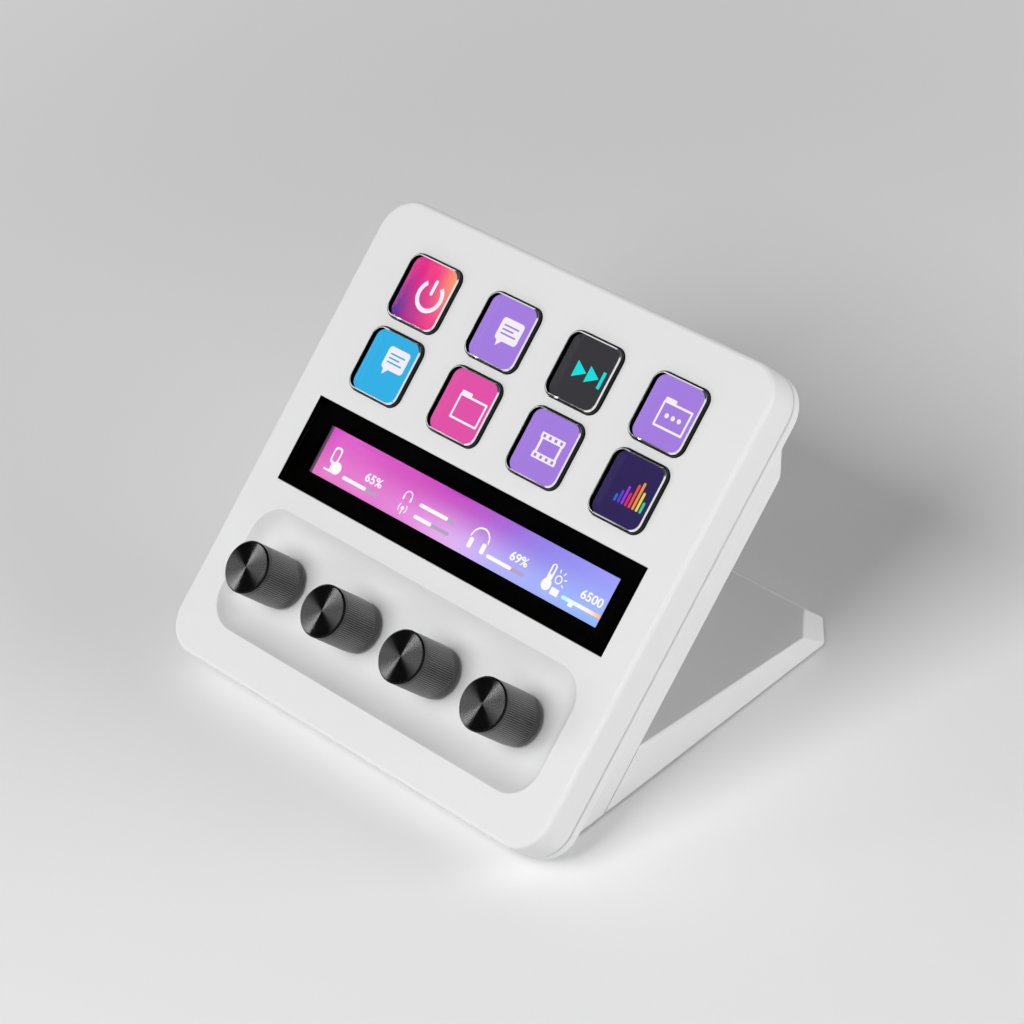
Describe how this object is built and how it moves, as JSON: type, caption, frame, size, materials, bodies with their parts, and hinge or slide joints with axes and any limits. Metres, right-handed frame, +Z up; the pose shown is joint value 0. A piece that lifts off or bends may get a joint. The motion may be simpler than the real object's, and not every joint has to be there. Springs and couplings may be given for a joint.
{
  "type": "desk macro keypad",
  "caption": "Tilted white desk keypad with clear display keys, a flush touch strip and ribbed push dials in a scooped trough, on a wedge stand.",
  "frame": {"origin": "centre of the foot pad's underside, on the desk", "axes": "+X to the user's right, +Y away from the user, +Z up; the face slopes up and away"},
  "size_m": [0.14, 0.1196, 0.0956],
  "materials": {
    "white_case": "fine matte moulding texture",
    "black_skirt": "satin black",
    "clear_cap": "clear polished acrylic",
    "dark_glass": "polished, black border round a clear window",
    "display": "dark glossy display",
    "display_tray": "white",
    "dark_metal": "anodised, ribbed side and spun top",
    "steel": "zinc plated",
    "white_plastic": "moulded",
    "rubber": "matte black",
    "circuit_board": "green solder mask",
    "ribbon": "amber film"
  },
  "bodies": {
    "case": {"front_cover": "white_case", "rear_cover": "white_case", "stand_leg": "white_case", "floor_plate": "steel", "foot_pad": "rubber", "touch_glass": "dark_glass", "display_panel": "display", "backlight_tray": "display_tray", "display_bracket": "steel", "key_mat": "rubber", "dial_board": "circuit_board", "main_board": "circuit_board", "usb_socket": "steel", "display_ribbon": "ribbon", "dial_ribbon": "ribbon", "case_screws": "steel", "bracket_screws": "steel", "dial_board_screws": "steel", "main_board_screws": "steel", "leg_screws": "steel", "floor_plate_screws": "steel", "encoder_1": "steel", "encoder_2": "steel", "encoder_3": "steel", "encoder_4": "steel"},
    "key_1": {"key_cap_1": "clear_cap", "key_skirt_1": "black_skirt"},
    "key_2": {"key_cap_2": "clear_cap", "key_skirt_2": "black_skirt"},
    "key_3": {"key_cap_3": "clear_cap", "key_skirt_3": "black_skirt"},
    "key_4": {"key_cap_4": "clear_cap", "key_skirt_4": "black_skirt"},
    "key_5": {"key_cap_5": "clear_cap", "key_skirt_5": "black_skirt"},
    "key_6": {"key_cap_6": "clear_cap", "key_skirt_6": "black_skirt"},
    "key_7": {"key_cap_7": "clear_cap", "key_skirt_7": "black_skirt"},
    "key_8": {"key_cap_8": "clear_cap", "key_skirt_8": "black_skirt"},
    "dial_press_1": {"dial_plunger_1": "white_plastic"},
    "dial_1": {"dial_shaft_1": "steel", "dial_knob_1": "dark_metal", "dial_disc_1": "dark_metal"},
    "dial_press_2": {"dial_plunger_2": "white_plastic"},
    "dial_2": {"dial_shaft_2": "steel", "dial_knob_2": "dark_metal", "dial_disc_2": "dark_metal"},
    "dial_press_3": {"dial_plunger_3": "white_plastic"},
    "dial_3": {"dial_shaft_3": "steel", "dial_knob_3": "dark_metal", "dial_disc_3": "dark_metal"},
    "dial_press_4": {"dial_plunger_4": "white_plastic"},
    "dial_4": {"dial_shaft_4": "steel", "dial_knob_4": "dark_metal", "dial_disc_4": "dark_metal"}
  },
  "joints": [
    {"name": "key_1_press", "type": "slide", "parent": "case", "child": "key_1", "axis": [0, 0.6361, -0.7716], "range_m": [0, 0.001], "stiffness_N_per_m": 600},
    {"name": "key_2_press", "type": "slide", "parent": "case", "child": "key_2", "axis": [0, 0.6361, -0.7716], "range_m": [0, 0.001], "stiffness_N_per_m": 600},
    {"name": "key_3_press", "type": "slide", "parent": "case", "child": "key_3", "axis": [0, 0.6361, -0.7716], "range_m": [0, 0.001], "stiffness_N_per_m": 600},
    {"name": "key_4_press", "type": "slide", "parent": "case", "child": "key_4", "axis": [0, 0.6361, -0.7716], "range_m": [0, 0.001], "stiffness_N_per_m": 600},
    {"name": "key_5_press", "type": "slide", "parent": "case", "child": "key_5", "axis": [0, 0.6361, -0.7716], "range_m": [0, 0.001], "stiffness_N_per_m": 600},
    {"name": "key_6_press", "type": "slide", "parent": "case", "child": "key_6", "axis": [0, 0.6361, -0.7716], "range_m": [0, 0.001], "stiffness_N_per_m": 600},
    {"name": "key_7_press", "type": "slide", "parent": "case", "child": "key_7", "axis": [0, 0.6361, -0.7716], "range_m": [0, 0.001], "stiffness_N_per_m": 600},
    {"name": "key_8_press", "type": "slide", "parent": "case", "child": "key_8", "axis": [0, 0.6361, -0.7716], "range_m": [0, 0.001], "stiffness_N_per_m": 600},
    {"name": "dial_1_press", "type": "slide", "parent": "case", "child": "dial_press_1", "axis": [0, 0.6361, -0.7716], "range_m": [0, 0.0005], "stiffness_N_per_m": 4000},
    {"name": "dial_1_turn", "type": "hinge", "parent": "dial_press_1", "child": "dial_1", "pos_m": [-0.04425, -0.05383, 0.02919], "axis": [0, -0.6361, 0.7716], "continuous": true},
    {"name": "dial_2_press", "type": "slide", "parent": "case", "child": "dial_press_2", "axis": [0, 0.6361, -0.7716], "range_m": [0, 0.0005], "stiffness_N_per_m": 4000},
    {"name": "dial_2_turn", "type": "hinge", "parent": "dial_press_2", "child": "dial_2", "pos_m": [-0.01475, -0.05383, 0.02919], "axis": [0, -0.6361, 0.7716], "continuous": true},
    {"name": "dial_3_press", "type": "slide", "parent": "case", "child": "dial_press_3", "axis": [0, 0.6361, -0.7716], "range_m": [0, 0.0005], "stiffness_N_per_m": 4000},
    {"name": "dial_3_turn", "type": "hinge", "parent": "dial_press_3", "child": "dial_3", "pos_m": [0.01475, -0.05383, 0.02919], "axis": [0, -0.6361, 0.7716], "continuous": true},
    {"name": "dial_4_press", "type": "slide", "parent": "case", "child": "dial_press_4", "axis": [0, 0.6361, -0.7716], "range_m": [0, 0.0005], "stiffness_N_per_m": 4000},
    {"name": "dial_4_turn", "type": "hinge", "parent": "dial_press_4", "child": "dial_4", "pos_m": [0.04425, -0.05383, 0.02919], "axis": [0, -0.6361, 0.7716], "continuous": true}
  ]
}
